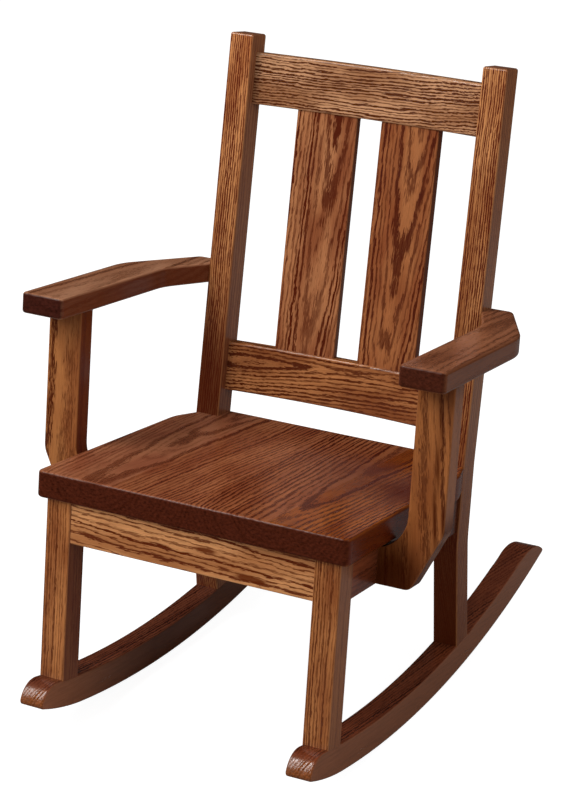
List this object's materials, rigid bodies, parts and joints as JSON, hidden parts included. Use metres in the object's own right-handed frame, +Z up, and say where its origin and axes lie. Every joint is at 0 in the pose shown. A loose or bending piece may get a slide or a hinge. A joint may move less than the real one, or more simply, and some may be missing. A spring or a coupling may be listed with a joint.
{
  "type": "child's rocking chair",
  "caption": "Child's mission style wooden rocking chair with square posts, bowed slat back, plank seat, flat arms and curved rockers.",
  "frame": {"origin": "middle of the floor plan's bounding box, on the floor, with the chair at its balance", "axes": "+X to the right as seen from the front, +Y from the front to the back, +Z up"},
  "size_m": [0.488, 0.6046, 0.6684],
  "materials": {
    "oak_dark": "stained open grained oak under satin lacquer",
    "oak_seat": "stained open grained oak under satin lacquer",
    "oak_frame": "stained open grained oak under satin lacquer",
    "oak_light": "stained open grained oak under satin lacquer",
    "oak_slat": "stained open grained oak under satin lacquer",
    "raw_wood": "unstained hardwood out of sight",
    "steel": "zinc plated wood screws"
  },
  "bodies": {
    "root": {"rocker_left": "oak_dark", "rocker_right": "oak_dark", "rear_apron": "oak_dark", "side_apron_left": "oak_dark", "side_apron_right": "oak_dark", "seat_board_1": "oak_seat", "seat_board_2": "oak_seat", "seat_board_3": "oak_seat", "seat_board_4": "oak_seat", "front_leg_left": "oak_frame", "front_leg_right": "oak_frame", "rear_post_left": "oak_frame", "rear_post_right": "oak_frame", "arm_left": "oak_frame", "arm_right": "oak_frame", "arm_post_left": "oak_frame", "arm_post_right": "oak_frame", "front_apron": "oak_light", "crest_rail": "oak_light", "lower_back_rail": "oak_light", "back_slat_left": "oak_slat", "back_slat_right": "oak_slat", "corner_block_front_left": "raw_wood", "corner_block_front_right": "raw_wood", "corner_block_rear_left": "raw_wood", "corner_block_rear_right": "raw_wood", "rocker_dowels": "raw_wood", "arm_post_dowels": "raw_wood", "arm_rear_dowels": "raw_wood", "arm_post_screws": "steel", "corner_block_screws": "steel", "seat_screws": "steel"}
  },
  "joints": []
}
